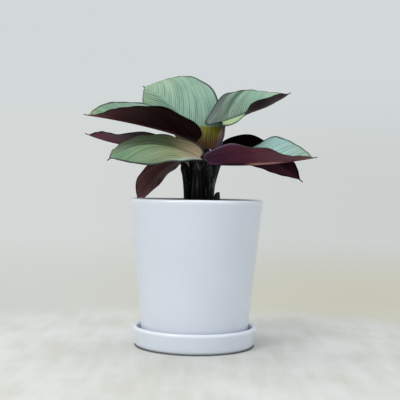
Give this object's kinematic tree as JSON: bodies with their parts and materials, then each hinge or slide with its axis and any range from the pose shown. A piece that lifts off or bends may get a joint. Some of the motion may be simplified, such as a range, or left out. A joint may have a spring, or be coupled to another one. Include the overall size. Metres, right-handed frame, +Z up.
{
  "type": "potted calathea",
  "caption": "Calathea house plant with broad waved leaves, pale veined tops and plum undersides, in a white glazed tapered pot on a round saucer.",
  "frame": {"origin": "on the ground, at the middle of the saucer's flat underside", "axes": "+Z up, -Y towards the front as pictured, +X to the right"},
  "size_m": [0.2348, 0.1896, 0.281],
  "materials": {
    "glaze": "glossy white glaze",
    "soil": "matt crumbly potting mix",
    "leaf": "satin, pale green with veins above and dark plum below",
    "stalk": "satin, near black purple",
    "stub": "matt, dried"
  },
  "bodies": {
    "root": {"saucer": "glaze", "pot": "glaze", "soil": "soil", "left_upper_blade": "leaf", "left_upper_stalk": "stalk", "back_tall_blade": "leaf", "back_tall_stalk": "stalk", "right_upper_blade": "leaf", "right_upper_stalk": "stalk", "left_front_blade": "leaf", "left_front_stalk": "stalk", "right_front_blade": "leaf", "right_front_stalk": "stalk", "left_hanging_blade": "leaf", "left_hanging_stalk": "stalk", "left_middle_blade": "leaf", "left_middle_stalk": "stalk", "right_back_blade": "leaf", "right_back_stalk": "stalk", "back_low_blade": "leaf", "back_low_stalk": "stalk", "old_stub": "stub"}
  },
  "joints": []
}
